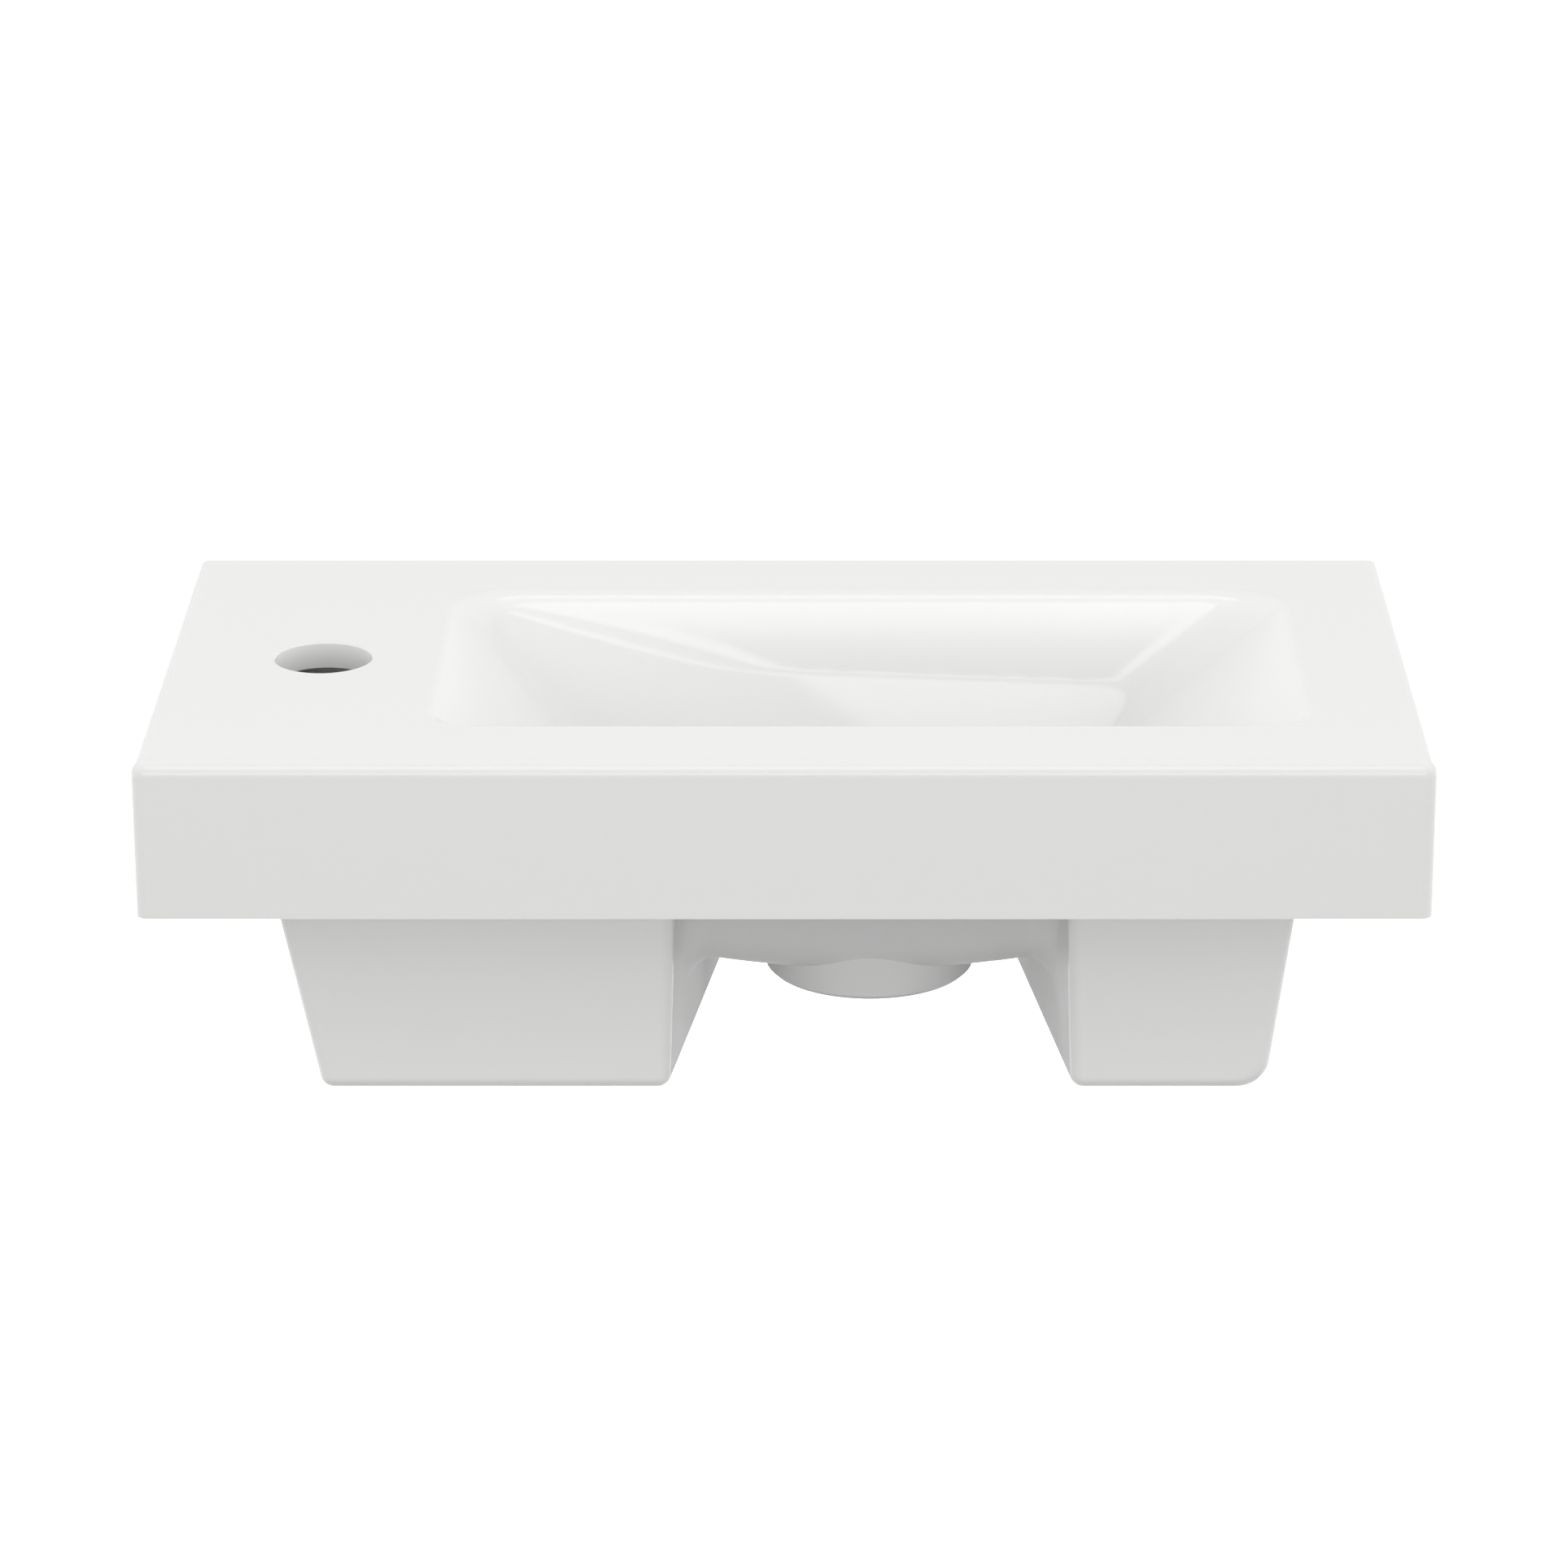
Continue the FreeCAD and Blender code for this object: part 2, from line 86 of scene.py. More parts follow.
class Groups:
    """Shader node groups that more than one material uses."""

    @staticmethod
    def mottle() -> bpy.types.NodeTree:
        """Soft cloudy variation over the surface.

        Returns:
            Group with Scale, Low and High in, and Value (Low to High) and Mask (0 to 1) out.
        """
        name = "mottle"
        if name in bpy.data.node_groups:
            return bpy.data.node_groups[name]
        tree = bpy.data.node_groups.new(name, "ShaderNodeTree")
        for label, value in (("Scale", 20.0), ("Low", 0.0), ("High", 1.0)):
            socket = tree.interface.new_socket(name=label, in_out="INPUT", socket_type="NodeSocketFloat")
            socket.default_value = value
        for label in ("Value", "Mask"):
            tree.interface.new_socket(name=label, in_out="OUTPUT", socket_type="NodeSocketFloat")
        nodes, links = tree.nodes, tree.links
        inside = nodes.new("NodeGroupInput")
        outside = nodes.new("NodeGroupOutput")
        coords = nodes.new("ShaderNodeTexCoord")
        noise = nodes.new("ShaderNodeTexNoise")
        noise.inputs["Detail"].default_value = 3.0
        noise.inputs["Roughness"].default_value = 0.55
        links.new(coords.outputs["Object"], noise.inputs["Vector"])
        links.new(inside.outputs["Scale"], noise.inputs["Scale"])
        spread = nodes.new("ShaderNodeMapRange")
        spread.interpolation_type = "SMOOTHSTEP"
        spread.inputs["From Min"].default_value = 0.3
        spread.inputs["From Max"].default_value = 0.7
        links.new(noise.outputs["Fac"], spread.inputs["Value"])
        scaled = nodes.new("ShaderNodeMapRange")
        links.new(spread.outputs["Result"], scaled.inputs["Value"])
        links.new(inside.outputs["Low"], scaled.inputs["To Min"])
        links.new(inside.outputs["High"], scaled.inputs["To Max"])
        links.new(scaled.outputs["Result"], outside.inputs["Value"])
        links.new(spread.outputs["Result"], outside.inputs["Mask"])
        return tree

    @staticmethod
    def ripple() -> bpy.types.NodeTree:
        """Fine unevenness of the surface.

        Returns:
            Group with Scale and Height in, and Normal out.
        """
        name = "ripple"
        if name in bpy.data.node_groups:
            return bpy.data.node_groups[name]
        tree = bpy.data.node_groups.new(name, "ShaderNodeTree")
        for label, value in (("Scale", 60.0), ("Height", 0.0001)):
            socket = tree.interface.new_socket(name=label, in_out="INPUT", socket_type="NodeSocketFloat")
            socket.default_value = value
        tree.interface.new_socket(name="Normal", in_out="OUTPUT", socket_type="NodeSocketVector")
        nodes, links = tree.nodes, tree.links
        inside = nodes.new("NodeGroupInput")
        outside = nodes.new("NodeGroupOutput")
        coords = nodes.new("ShaderNodeTexCoord")
        noise = nodes.new("ShaderNodeTexNoise")
        noise.inputs["Detail"].default_value = 2.0
        links.new(coords.outputs["Object"], noise.inputs["Vector"])
        links.new(inside.outputs["Scale"], noise.inputs["Scale"])
        bump = nodes.new("ShaderNodeBump")
        bump.inputs["Strength"].default_value = 1.0
        links.new(inside.outputs["Height"], bump.inputs["Distance"])
        links.new(noise.outputs["Fac"], bump.inputs["Height"])
        links.new(bump.outputs["Normal"], outside.inputs["Normal"])
        return tree


@dataclass(frozen=True)
class Finish:
    """One finish: a colour that drifts between two tones, a gloss that drifts too, and a fine unevenness."""

    name: str
    light: Colour
    dark: Colour
    gloss_roughness: float
    dull_roughness: float
    metallic: float = 0.0
    specular: float = 0.5
    cloud_scale: float = 18.0
    ripple_scale: float = 60.0
    ripple_height: float = 0.0

    def build(self) -> bpy.types.Material:
        """Makes the material, once.

        Returns:
            The material.
        """
        if self.name in bpy.data.materials:
            return bpy.data.materials[self.name]
        material = bpy.data.materials.new(self.name)
        material.use_nodes = True
        material.diffuse_color = self.light
        tree = material.node_tree
        shader = tree.nodes["Principled BSDF"]
        shader.inputs["Metallic"].default_value = self.metallic
        shader.inputs["Specular IOR Level"].default_value = self.specular
        values = {"Scale": self.cloud_scale, "Low": self.gloss_roughness, "High": self.dull_roughness}
        cloud = self.placed(tree, Groups.mottle(), values)
        tree.links.new(cloud.outputs["Value"], shader.inputs["Roughness"])
        tones = tree.nodes.new("ShaderNodeMix")
        tones.data_type = "RGBA"
        tones.inputs[6].default_value = self.light
        tones.inputs[7].default_value = self.dark
        tree.links.new(cloud.outputs["Mask"], tones.inputs[0])
        tree.links.new(tones.outputs[2], shader.inputs["Base Color"])
        if self.ripple_height > 0.0:
            values = {"Scale": self.ripple_scale, "Height": self.ripple_height}
            ripple = self.placed(tree, Groups.ripple(), values)
            tree.links.new(ripple.outputs["Normal"], shader.inputs["Normal"])
        return material

    @staticmethod
    def placed(
        tree: bpy.types.NodeTree, group: bpy.types.NodeTree, values: dict[str, float]
    ) -> bpy.types.Node:
        """Places a node group in a material.

        Args:
            tree: Node tree of the material.
            group: Group to place.
            values: Values for its inputs.

        Returns:
            The group's node.
        """
        node = tree.nodes.new("ShaderNodeGroup")
        node.node_tree = group
        for label, value in values.items():
            node.inputs[label].default_value = value
        return node


GLAZE = Finish(
    name="glazed_ceramic",
    light=(0.862, 0.862, 0.858, 1.0),
    dark=(0.852, 0.853, 0.85, 1.0),
    gloss_roughness=0.14,
    dull_roughness=0.19,
    cloud_scale=9.0,
    ripple_scale=28.0,
    ripple_height=0.00006,
)
THIN_GLAZE = Finish(
    name="thin_glaze",
    light=(0.87, 0.87, 0.866, 1.0),
    dark=(0.85, 0.85, 0.843, 1.0),
    gloss_roughness=0.5,
    dull_roughness=0.62,
    specular=0.2,
    cloud_scale=14.0,
    ripple_scale=70.0,
    ripple_height=0.00012,
)
BISQUE = Finish(
    name="bare_ceramic",
    light=(0.8, 0.785, 0.75, 1.0),
    dark=(0.765, 0.745, 0.705, 1.0),
    gloss_roughness=0.86,
    dull_roughness=0.95,
    specular=0.25,
    cloud_scale=30.0,
    ripple_scale=900.0,
    ripple_height=0.00008,
)
ZINC = Finish(
    name="zinc_plated_steel",
    light=(0.62, 0.63, 0.65, 1.0),
    dark=(0.5, 0.515, 0.54, 1.0),
    gloss_roughness=0.24,
    dull_roughness=0.42,
    metallic=1.0,
    cloud_scale=220.0,
    ripple_scale=1500.0,
    ripple_height=0.00001,
)
NYLON = Finish(
    name="grey_nylon",
    light=(0.45, 0.46, 0.47, 1.0),
    dark=(0.38, 0.39, 0.4, 1.0),
    gloss_roughness=0.45,
    dull_roughness=0.6,
    cloud_scale=120.0,
    ripple_scale=1800.0,
    ripple_height=0.00002,
)
WHITE_PLASTIC = Finish(
    name="white_plastic",
    light=(0.85, 0.85, 0.83, 1.0),
    dark=(0.8, 0.8, 0.775, 1.0),
    gloss_roughness=0.35,
    dull_roughness=0.48,
    cloud_scale=90.0,
    ripple_scale=1500.0,
    ripple_height=0.000015,
)


def mesh_object(
    name: str, points: list[Point], faces: list[tuple[int, ...]], finishes: list[Finish]
) -> bpy.types.Object:
    """Makes an object from points and faces.

    Args:
        name: Name of the object and its mesh.
        points: Vertices in metres.
        faces: Vertex numbers of each face.
        finishes: Its materials, in slot order.

    Returns:
        The object, linked to the scene.
    """
    mesh = bpy.data.meshes.new(name)
    mesh.from_pydata(points, [], faces)
    for finish in finishes:
        mesh.materials.append(finish.build())
    item = bpy.data.objects.new(name, mesh)
    bpy.context.scene.collection.objects.link(item)
    return item


def stand_in(item: bpy.types.Object, node: str) -> None:
    """Puts a dressed piece in the place of its CAD node.

    Args:
        item: The piece.
        node: The node that it stands for.
    """
    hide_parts(node)
    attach(item, "root")
    LOG.info("%s stands for %s", item.name, node)


def soft_less(a: np.ndarray, b: np.ndarray, reach: np.ndarray | float) -> np.ndarray:
    """Takes the smaller of two distances, rounded off where they come near each other.

    Args:
        a: First distance.
        b: Second distance.
        reach: Difference within which they are rounded off.

    Returns:
        The rounded smaller distance.
    """
    near = np.maximum(reach - np.abs(a - b), 0.0)
    return np.minimum(a, b) - near * near / (4.0 * np.maximum(reach, SMALLEST_REACH))


@dataclass
class BowlForm:
    """Inside of the bowl, with valleys that are sharp in the upper corners and widen downwards.

    Shares are of the slab's width from the left, of its depth from the front, and of the bowl's drop.
    """

    width: float = 0.45
    depth: float = 0.23
    deck: float = 0.0285
    drop: float = 0.098
    left_shares: tuple[float, float] = (0.2218, 0.4553)
    right_shares: tuple[float, float] = (0.912, 0.6333)
    front_shares: tuple[float, float] = (0.1843, 0.374)
    back_shares: tuple[float, float] = (0.8322, 0.7416)
    long_shares: tuple[Point, ...] = (
        (0.2284, 0.8322, 0.0204),
        (0.5667, 0.8002, 0.405),
        (0.4553, 0.418, 1.0),
    )
    rear_shares: tuple[Point, ...] = (
        (0.5667, 0.8035, 0.3163),
        (0.7889, 0.8004, 0.3504),
        (0.5667, 0.559, 1.0),
    )
    rim_radius: float = 0.0065
    seam_radius: float = 0.006
    long_seam_radius: float = 0.11
    seam_fade: float = 0.012
    left_spread: float = 0.4
    back_spread: float = 0.34
    right_spread: float = 0.05
    corner_radius: float = 0.018
    largest_radius: float = 0.06
    floor_reach: float = 0.008
    search_above: float = 0.001
    search_below: float = 0.0049
    probe: float = 1e-4
    halvings: int = 26

    def at(self, shares: Point) -> np.ndarray:
        """Finds a point of the bowl.

        Args:
            shares: Its place as shares of the slab's width and depth and of the bowl's drop.

        Returns:
            The point in metres.
        """
        across, along, down = shares
        return np.array(
            [
                (across - 0.5) * self.width,
                (along - 1.0) * self.depth,
                self.deck - down * self.drop,
            ]
        )

    def plane(self, first: Point, second: Point, third: Point) -> Plane:
        """Plane through three points given as shares.

        Args:
            first: First point.
            second: Second point.
            third: Third point.

        Returns:
            One of its points and its upward normal.
        """
        a, b, c = self.at(first), self.at(second), self.at(third)
        normal = np.cross(b - a, c - a)
        normal /= np.linalg.norm(normal)
        return a, normal if normal[2] > 0 else -normal

    def __post_init__(self) -> None:
        """Works out the planes of the four sides, the two facets and the floor."""
        top, floor = self.left_shares
        self.left = self.plane((top, 0.0, 0.0), (top, 1.0, 0.0), (floor, 0.0, 1.0))
        top, floor = self.right_shares
        self.right = self.plane((top, 0.0, 0.0), (top, 1.0, 0.0), (floor, 0.0, 1.0))
        top, floor = self.front_shares
        self.front = self.plane((0.0, top, 0.0), (1.0, top, 0.0), (0.0, floor, 1.0))
        top, floor = self.back_shares
        self.back = self.plane((0.0, top, 0.0), (1.0, top, 0.0), (0.0, floor, 1.0))
        self.long = self.plane(*self.long_shares)
        self.rear = self.plane(*self.rear_shares)
        self.floor = self.plane((0.0, 0.0, 1.0), (1.0, 0.0, 1.0), (0.0, 1.0, 1.0))
        self.left_apex = self.at((self.left_shares[0], self.back_shares[0], 0.0))

    @staticmethod
    def above(plane: Plane, p: np.ndarray) -> np.ndarray:
        """Distance of points above a plane."""
        return (p - plane[0]) @ plane[1]

    @staticmethod
    def reach(a: Plane, b: Plane, radius: np.ndarray | float) -> np.ndarray | float:
        """Reach at which soft_less rounds the valley between two planes to a radius."""
        return radius * (1.0 - float(a[1] @ b[1]))

    def inside(self, p: np.ndarray) -> np.ndarray:
        """Tells how deep points lie in the bowl's space.

        Args:
            p: Points, one a row.

        Returns:
            Distance from the bowl's surface, above zero inside the space.
        """
        left_way = np.linalg.norm(p[:, :2] - self.left_apex[:2], axis=1)
        sunk = np.maximum(self.deck - p[:, 2], 0.0)
        from_left = np.minimum(self.left_spread * left_way, self.largest_radius)
        along_back = np.minimum(self.back_spread * left_way, self.largest_radius)
        from_right = self.corner_radius + self.right_spread * sunk
        long_and_left = soft_less(
            self.above(self.left, p), self.above(self.long, p), self.reach(self.left, self.long, from_left)
        )
        back_and_right = soft_less(
            self.above(self.back, p), self.above(self.right, p), self.reach(self.back, self.right, from_right)
        )
        rear = soft_less(
            back_and_right, self.above(self.rear, p), self.reach(self.back, self.rear, self.seam_radius)
        )
        past_back = self.above(self.back, p) - self.above(self.rear, p)
        on_rear = np.clip(past_back / self.seam_fade + 1.0, 0.0, 1.0)
        seam = (1.0 - on_rear) * self.reach(self.long, self.back, along_back)
        seam = seam + on_rear * self.reach(self.long, self.rear, self.long_seam_radius)
        walls = soft_less(long_and_left, rear, seam)
        corner_reach = self.reach(self.left, self.back, self.corner_radius)
        corner = soft_less(self.above(self.left, p), self.above(self.back, p), corner_reach)
        walls = np.minimum(walls, corner)
        front_reach = self.reach(self.front, self.left, self.corner_radius)
        walls = soft_less(walls, self.above(self.front, p), front_reach)
        return soft_less(walls, self.above(self.floor, p), self.floor_reach)

    def height(self, x: np.ndarray, y: np.ndarray) -> np.ndarray:
        """Finds the surface over points of the plan, with the rim rounded over.

        Args:
            x: Places along X.
            y: Places along Y.

        Returns:
            Height of the surface at each.
        """
        low = np.full(x.shape, self.deck - self.drop - self.search_below)
        high = np.full(x.shape, self.deck + self.search_above)
        for _ in range(self.halvings):
            z = (low + high) / 2.0
            p = np.column_stack([x, y, z])
            here = self.inside(p)
            above = self.inside(p + np.array([0.0, 0.0, self.probe]))
            rim = self.rim_radius * (1.0 - np.clip((above - here) / self.probe, 0.0, 1.0))
            solid = -soft_less(self.deck - z, -here, rim)
            high = np.where(solid > 0.0, z, high)
            low = np.where(solid > 0.0, low, z)
        return np.minimum((low + high) / 2.0, self.deck)

    def normals(self, x: np.ndarray, y: np.ndarray) -> np.ndarray:
        """Works out the surface's upward normals from its slopes over a small step.

        Args:
            x: Places along X.
            y: Places along Y.

        Returns:
            Unit normal at each, one a row.
        """
        step = self.probe
        slope_x = (self.height(x + step, y) - self.height(x - step, y)) / (2.0 * step)
        slope_y = (self.height(x, y + step) - self.height(x, y - step)) / (2.0 * step)
        n = np.column_stack([-slope_x, -slope_y, np.ones_like(x)])
        return n / np.linalg.norm(n, axis=1)[:, None]


@dataclass
class BasinBody:
    """The fired body: the CAD casting's outside with the bowl's inside drawn finely."""

    form: BowlForm
    tap_hole: tuple[float, float] = (-0.16749, -0.115)
    tap_hole_radius: float = 0.0175
    drain: tuple[float, float] = (0.030285, -0.115989)
    pocket_radius: float = 0.034
    pocket_overlap: float = 0.0004
    foot_z: float = -0.1097
    foot_margin: float = 0.0002
    slab_underside_z: float = -0.0285
    underside_margin: float = 0.0001
    slab_skin: float = 0.0051
    seen_leg_depth: float = 0.045
    leg_flank_x: float = 0.15
    facing: float = 0.3
    tap_hole_margin: float = 1.1
    seed_shares: Point = (0.32, 0.5, 0.0)
    outline_step: float = 0.0018
    rings: int = 110
    crowding: float = 1.5
    rim_run_in: float = 0.002

    def build(self, node: bpy.types.Object) -> bpy.types.Object:
        """Builds the dressed body and puts it in the CAD node's place.

        Args:
            node: The body's CAD node.

        Returns:
            The body.
        """
        points, faces, normals = self.welded(node.data)
        beside = self.neighbours(faces)
        bowl = self.flood(points, faces, beside)
        coats = [self.coat(points, face) for face in faces]
        outer, inner = self.loops(points, faces, bowl)
        kept = [i for i in range(len(faces)) if i not in bowl]
        rim, grown = self.refined(points, outer)
        out_faces, out_normals, out_coats = [], [], []
        for i in kept:
            ring, ring_normals = self.with_points(faces[i], normals[i], grown)
            out_faces.append(ring)
            out_normals.extend(ring_normals)
            out_coats.append(coats[i])
        patch, patch_normals = self.bowl_patch(points, rim, inner)
        out_faces.extend(patch)
        for face in patch:
            out_normals.extend(patch_normals[v] for v in face)
        out_coats.extend([Coat.GLOSS.value] * len(patch))
        body = mesh_object("dressed_basin_body", points, out_faces, [GLAZE, THIN_GLAZE, BISQUE])
        body.data.polygons.foreach_set("material_index", out_coats)
        body.data.polygons.foreach_set("use_smooth", [True] * len(out_faces))
        body.data.normals_split_custom_set(out_normals)
        body.data.update()
        stand_in(body, "basin_body")
        LOG.info("bowl drawn with %d faces", len(patch))
        return body

    @staticmethod
    def welded(
        mesh: bpy.types.Mesh,
    ) -> tuple[list[Point], list[tuple[int, ...]], list[list[Point]]]:
        """Reads a mesh with the points that lie together made one.

        Args:
            mesh: Mesh to read.

        Returns:
            Its points, its faces and the normals of each face's corners.
        """
        index: dict[tuple[int, ...], int] = {}
        points: list[Point] = []
        number = []
        for vertex in mesh.vertices:
            key = tuple(round(c / WELD) for c in vertex.co)
            if key not in index:
                index[key] = len(points)
                points.append(tuple(vertex.co))
            number.append(index[key])
        faces, normals = [], []
        for polygon in mesh.polygons:
            ring = [number[mesh.loops[i].vertex_index] for i in polygon.loop_indices]
            if len(set(ring)) < len(ring):
                continue
            faces.append(tuple(ring))
            normals.append([tuple(mesh.corner_normals[i].vector) for i in polygon.loop_indices])
        return points, faces, normals

    @staticmethod
    def neighbours(faces: list[tuple[int, ...]]) -> dict[tuple[int, int], list[int]]:
        """Lists the faces that meet at each edge.

        Args:
            faces: Faces of the mesh.

        Returns:
            Numbers of the faces on each edge, by its two vertices in rising order.
        """
        beside: dict[tuple[int, int], list[int]] = {}
        for i, face in enumerate(faces):
            for a, b in zip(face, face[1:] + face[:1]):
                beside.setdefault((min(a, b), max(a, b)), []).append(i)
        return beside

    def flood(
        self, points: list[Point], faces: list[tuple[int, ...]], beside: dict[tuple[int, int], list[int]]
    ) -> set[int]:
        """Finds the faces of the bowl's inside, between the deck and the drain's pocket.

        Args:
            points: Points of the mesh.
            faces: Its faces.
            beside: Faces on each edge.

        Returns:
            Numbers of the faces.
        """

        def flat_deck(face: tuple[int, ...]) -> bool:
            """Tells whether a face lies in the deck's plane."""
            return all(abs(points[v][2] - self.form.deck) < IN_PLANE / 2.0 for v in face)

        def in_pocket(face: tuple[int, ...]) -> bool:
            """Tells whether a face belongs to the drain's pocket."""
            away = [math.hypot(points[v][0] - self.drain[0], points[v][1] - self.drain[1]) for v in face]
            return all(r < self.pocket_radius + 5.0 * IN_PLANE for r in away)

        seed_x, seed_y = self.form.at(self.seed_shares)[:2]

        def from_seed(i: int) -> float:
            """Ranks a face by its distance from the seed in plan, with those that don't look up last.

            Args:
                i: Number of the face.

            Returns:
                Its rank, in metres.
            """
            middle = np.mean([points[v] for v in faces[i]], axis=0)
            behind = 1.0 if self.up(points, faces[i]) < 0.3 else 0.0
            return math.hypot(middle[0] - seed_x, middle[1] - seed_y) + behind

        inside_plan = [i for i in range(len(faces)) if not flat_deck(faces[i])]
        start = min(inside_plan, key=from_seed)
        found, todo = {start}, [start]
        while todo:
            face = faces[todo.pop()]
            for a, b in zip(face, face[1:] + face[:1]):
                for j in beside[(min(a, b), max(a, b))]:
                    if j not in found and not flat_deck(faces[j]) and not in_pocket(faces[j]):
                        found.add(j)
                        todo.append(j)
        return found

    @staticmethod
    def up(points: list[Point], face: tuple[int, ...]) -> float:
        """Works out how much a face looks up.

        Args:
            points: Points of the mesh.
            face: Vertex numbers of the face.

        Returns:
            Upward part of its unit normal.
        """
        a, b, c = (np.array(points[v]) for v in face[:3])
        n = np.cross(b - a, c - a)
        return float(n[2] / max(np.linalg.norm(n), TINY))

    def coat(self, points: list[Point], face: tuple[int, ...]) -> int:
        """Tells what a face of the casting shows: gloss where it is seen, thin glaze below, bare at the wall.

        Args:
            points: Points of the mesh.
            face: Vertex numbers of the face.

        Returns:
            Number of the material slot.
        """
        corners = np.array([points[v] for v in face])
        middle = corners.mean(axis=0)
        n = np.cross(corners[1] - corners[0], corners[2] - corners[0])
        n /= max(np.linalg.norm(n), TINY)
        at_wall = np.all(np.abs(corners[:, 1]) < IN_PLANE)
        if at_wall or np.all(corners[:, 2] < self.foot_z + self.foot_margin):
            return Coat.BISQUE.value
        to_tap = math.hypot(middle[0] - self.tap_hole[0], middle[1] - self.tap_hole[1])
        if to_tap < self.tap_hole_margin * self.tap_hole_radius and middle[2] > 0.0:
            return Coat.GLOSS.value
        half, front = self.form.width / 2.0, -self.form.depth
        if middle[2] > self.slab_underside_z + self.underside_margin:
            past = max(abs(middle[0]) - half, front - middle[1], middle[2] - self.form.deck)
            return Coat.GLOSS.value if past > -self.slab_skin else Coat.THIN.value
        below_slab = middle[2] < self.slab_underside_z - self.underside_margin
        if n[1] < -self.facing and middle[1] < front + self.seen_leg_depth and below_slab:
            return Coat.GLOSS.value
        outwards = n[0] * math.copysign(1.0, middle[0])
        if outwards > self.facing and abs(middle[0]) > self.leg_flank_x:
            return Coat.GLOSS.value
        return Coat.THIN.value

    @staticmethod
    def loops(
        points: list[Point], faces: list[tuple[int, ...]], bowl: set[int]
    ) -> tuple[list[int], list[int]]:
        """Finds the outline of the bowl's faces in the deck and round the drain.

        Args:
            points: Points of the mesh.
            faces: Its faces.
            bowl: Numbers of the bowl's faces.

        Returns:
            The loop in the deck and the loop round the drain's pocket.
        """
        follow: dict[int, int] = {}
        edges = set()
        for i in bowl:
            for a, b in zip(faces[i], faces[i][1:] + faces[i][:1]):
                edges.add((a, b))
        for a, b in edges:
            if (b, a) not in edges:
                follow[a] = b
        found = []
        while follow:
            start, here = next(iter(follow.items()))
            del follow[start]
            loop = [start]
            while here != start:
                loop.append(here)
                here = follow.pop(here)
            found.append(loop)
        found.sort(key=lambda ring: -np.mean([points[v][2] for v in ring]))
        if len(found) != 2:
            raise ValueError(f"{len(found)} loops round the bowl, not 2")
        return found[0], found[1]

    def refined(
        self, points: list[Point], outline: list[int]
    ) -> tuple[list[int], dict[tuple[int, int], list[int]]]:
        """Adds points along the long straight stretches of the bowl's outline.

        Args:
            points: Points of the mesh, to which the new ones are added.
            outline: Loop in the deck.

        Returns:
            The finer loop, and the points added on each of its old edges.
        """
        fine: list[int] = []
        grown: dict[tuple[int, int], list[int]] = {}
        for a, b in zip(outline, outline[1:] + outline[:1]):
            start, end = np.array(points[a]), np.array(points[b])
            parts = max(1, round(float(np.linalg.norm(end - start)) / self.outline_step))
            fine.append(a)
            added = []
            for k in range(1, parts):
                points.append(tuple(start + (end - start) * k / parts))
                added.append(len(points) - 1)
            fine.extend(added)
            if added:
                grown[(a, b)] = added
                grown[(b, a)] = added[::-1]
        return fine, grown

    @staticmethod
    def with_points(
        face: tuple[int, ...], normals: list[Point], grown: dict[tuple[int, int], list[int]]
    ) -> tuple[tuple[int, ...], list[Point]]:
        """Puts the points added on a face's edges into the face.

        Args:
            face: Vertex numbers of the face.
            normals: Normals of its corners.
            grown: Points added on each edge.

        Returns:
            The face and its normals with the added points.
        """
        ring, ring_normals = [], []
        for k, a in enumerate(face):
            b = face[(k + 1) % len(face)]
            ring.append(a)
            ring_normals.append(normals[k])
            for v in grown.get((a, b), []):
                ring.append(v)
                ring_normals.append(normals[k])
        return tuple(ring), ring_normals

    def bowl_patch(
        self, points: list[Point], rim: list[int], inner: list[int]
    ) -> tuple[list[tuple[int, ...]], dict[int, Point]]:
        """Draws the bowl's inside in rings from the rim in to the drain's pocket.

        Args:
            points: Points of the mesh, to which the new ones are added.
            rim: Fine loop in the deck.
            inner: Loop round the drain's pocket.

        Returns:
            The patch's faces, and the normal at each of its points.
        """
        count = len(rim)
        outer = np.array([points[v][:2] for v in rim])
        centre = np.array(self.drain)
        way = outer - centre
        length = np.linalg.norm(way, axis=1)
        last = centre + way / length[:, None] * (self.pocket_radius + self.pocket_overlap)
        normal_at: dict[int, Point] = {v: (0.0, 0.0, 1.0) for v in rim}
        rows = [list(rim)]
        for k in range(1, self.rings + 1):
            t = (k / self.rings) ** self.crowding
            plan = outer + (last - outer) * t
            z = self.form.height(plan[:, 0], plan[:, 1])
            n = self.form.normals(plan[:, 0], plan[:, 1])
            way_in = np.clip(t * np.linalg.norm(last - outer, axis=1) / self.rim_run_in, 0.0, 1.0)
            share = way_in * way_in * (3.0 - 2.0 * way_in)
            z = self.form.deck + (z - self.form.deck) * share
            n = n * share[:, None] + np.outer(1.0 - share, (0.0, 0.0, 1.0))
            n /= np.linalg.norm(n, axis=1)[:, None]
            row = list(range(len(points), len(points) + count))
            points.extend((float(q[0]), float(q[1]), float(h)) for q, h in zip(plan, z))
            normal_at.update((v, tuple(map(float, m))) for v, m in zip(row, n))
            rows.append(row)
        spot = np.array([points[v][:2] for v in inner])
        z = self.form.height(spot[:, 0], spot[:, 1])
        n = self.form.normals(spot[:, 0], spot[:, 1])
        for v, q, h, m in zip(inner, spot, z, n):
            points[v] = (float(q[0]), float(q[1]), float(h))
            normal_at[v] = tuple(map(float, m))
        faces: list[tuple[int, ...]] = []
        for above, below in zip(rows, rows[1:]):
            for j in range(count):
                i = (j + 1) % count
                faces.append((above[j], above[i], below[i], below[j]))
        faces.extend(self.stitched(points, rows[-1], inner))
        return faces, normal_at

